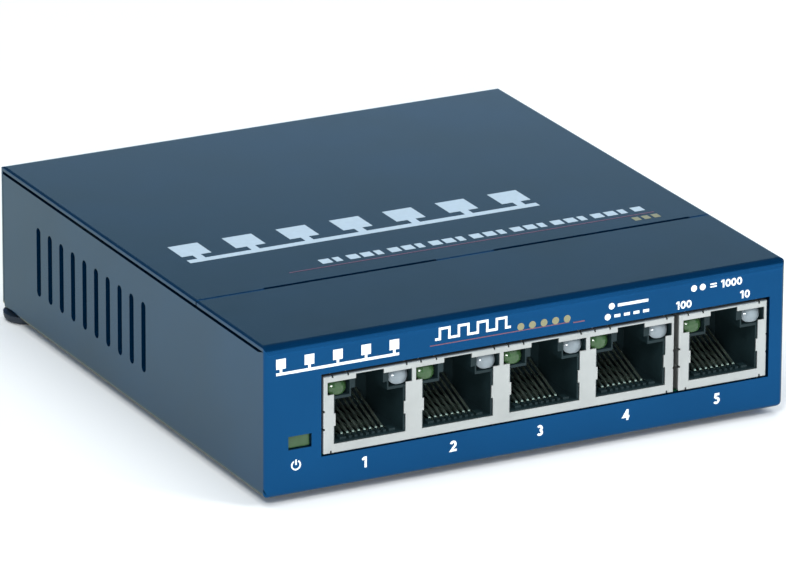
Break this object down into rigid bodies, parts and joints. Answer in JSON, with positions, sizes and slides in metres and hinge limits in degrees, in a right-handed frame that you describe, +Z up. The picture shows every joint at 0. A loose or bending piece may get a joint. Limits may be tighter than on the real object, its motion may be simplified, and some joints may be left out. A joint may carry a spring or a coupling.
{
  "type": "network switch",
  "caption": "Small desktop network switch in a blue folded steel case with a row of shielded jacks along the front, side vents and rubber feet.",
  "frame": {"origin": "middle of the plane the rubber feet stand on", "axes": "+X to the right seen from the front, +Y from the front to the back, +Z up"},
  "size_m": [0.0956, 0.101, 0.0269],
  "materials": {
    "paint_blue": "gloss",
    "rubber_black": "matte",
    "tinned_steel": "satin",
    "socket_plastic": "satin",
    "gold_contact": "polished",
    "nickel": "polished",
    "led_green": "translucent",
    "led_clear": "translucent",
    "screw_steel": "satin",
    "board_green": "satin",
    "chip_black": "matte",
    "brass": "satin",
    "heatsink_aluminium": "satin",
    "pad_grey": "matte",
    "capacitor_can": "gloss",
    "ferrite": "matte",
    "ceramic_tan": "satin"
  },
  "bodies": {
    "switch_unit": {"lower_chassis": "paint_blue", "top_cover": "paint_blue", "foot_front_left": "rubber_black", "foot_front_right": "rubber_black", "foot_back_left": "rubber_black", "foot_back_right": "rubber_black", "pcb": "board_green", "pcb_standoffs": "brass", "pcb_screws": "screw_steel", "cover_screws": "screw_steel", "quad_jack_shield": "tinned_steel", "quad_jack_contact_tails": "gold_contact", "single_jack_shield": "tinned_steel", "single_jack_contact_tails": "gold_contact", "port_1_housing": "socket_plastic", "port_1_led_left": "led_green", "port_1_led_right": "led_clear", "port_2_housing": "socket_plastic", "port_2_led_left": "led_green", "port_2_led_right": "led_clear", "port_3_housing": "socket_plastic", "port_3_led_left": "led_green", "port_3_led_right": "led_clear", "port_4_housing": "socket_plastic", "port_4_led_left": "led_green", "port_4_led_right": "led_clear", "port_5_housing": "socket_plastic", "port_5_led_left": "led_green", "port_5_led_right": "led_clear", "power_led": "led_green", "power_led_holder": "socket_plastic", "dc_jack_housing": "socket_plastic", "dc_jack_pin": "nickel", "dc_jack_terminal": "nickel", "magnetics": "chip_black", "switch_chip": "chip_black", "thermal_pad": "pad_grey", "heatsink": "heatsink_aluminium", "electrolytic_capacitors": "capacitor_can", "power_inductor": "ferrite", "voltage_regulator": "chip_black", "flash_chip": "chip_black", "crystal": "nickel", "smd_capacitors": "ceramic_tan", "smd_resistors": "chip_black"},
    "port_1_contact_set": {"port_1_contacts": "gold_contact"},
    "port_2_contact_set": {"port_2_contacts": "gold_contact"},
    "port_3_contact_set": {"port_3_contacts": "gold_contact"},
    "port_4_contact_set": {"port_4_contacts": "gold_contact"},
    "port_5_contact_set": {"port_5_contacts": "gold_contact"},
    "dc_leaf": {"dc_jack_spring": "nickel"}
  },
  "joints": [
    {"name": "port_1_contacts_press", "type": "hinge", "parent": "switch_unit", "child": "port_1_contact_set", "pos_m": [-0.0285, -0.0466, 0.00895], "axis": [-1, 0, 0], "range_deg": [0, 12], "stiffness_Nm_per_rad": 0.25},
    {"name": "port_2_contacts_press", "type": "hinge", "parent": "switch_unit", "child": "port_2_contact_set", "pos_m": [-0.0128, -0.0466, 0.00895], "axis": [-1, 0, 0], "range_deg": [0, 12], "stiffness_Nm_per_rad": 0.25},
    {"name": "port_3_contacts_press", "type": "hinge", "parent": "switch_unit", "child": "port_3_contact_set", "pos_m": [0.0029, -0.0466, 0.00895], "axis": [-1, 0, 0], "range_deg": [0, 12], "stiffness_Nm_per_rad": 0.25},
    {"name": "port_4_contacts_press", "type": "hinge", "parent": "switch_unit", "child": "port_4_contact_set", "pos_m": [0.0186, -0.0466, 0.00895], "axis": [-1, 0, 0], "range_deg": [0, 12], "stiffness_Nm_per_rad": 0.25},
    {"name": "port_5_contacts_press", "type": "hinge", "parent": "switch_unit", "child": "port_5_contact_set", "pos_m": [0.0357, -0.0466, 0.00895], "axis": [-1, 0, 0], "range_deg": [0, 12], "stiffness_Nm_per_rad": 0.25},
    {"name": "dc_leaf_press", "type": "hinge", "parent": "switch_unit", "child": "dc_leaf", "pos_m": [0.03, 0.0396, 0.00945], "axis": [-1, 0, 0], "range_deg": [0, 8], "stiffness_Nm_per_rad": 0.25}
  ]
}
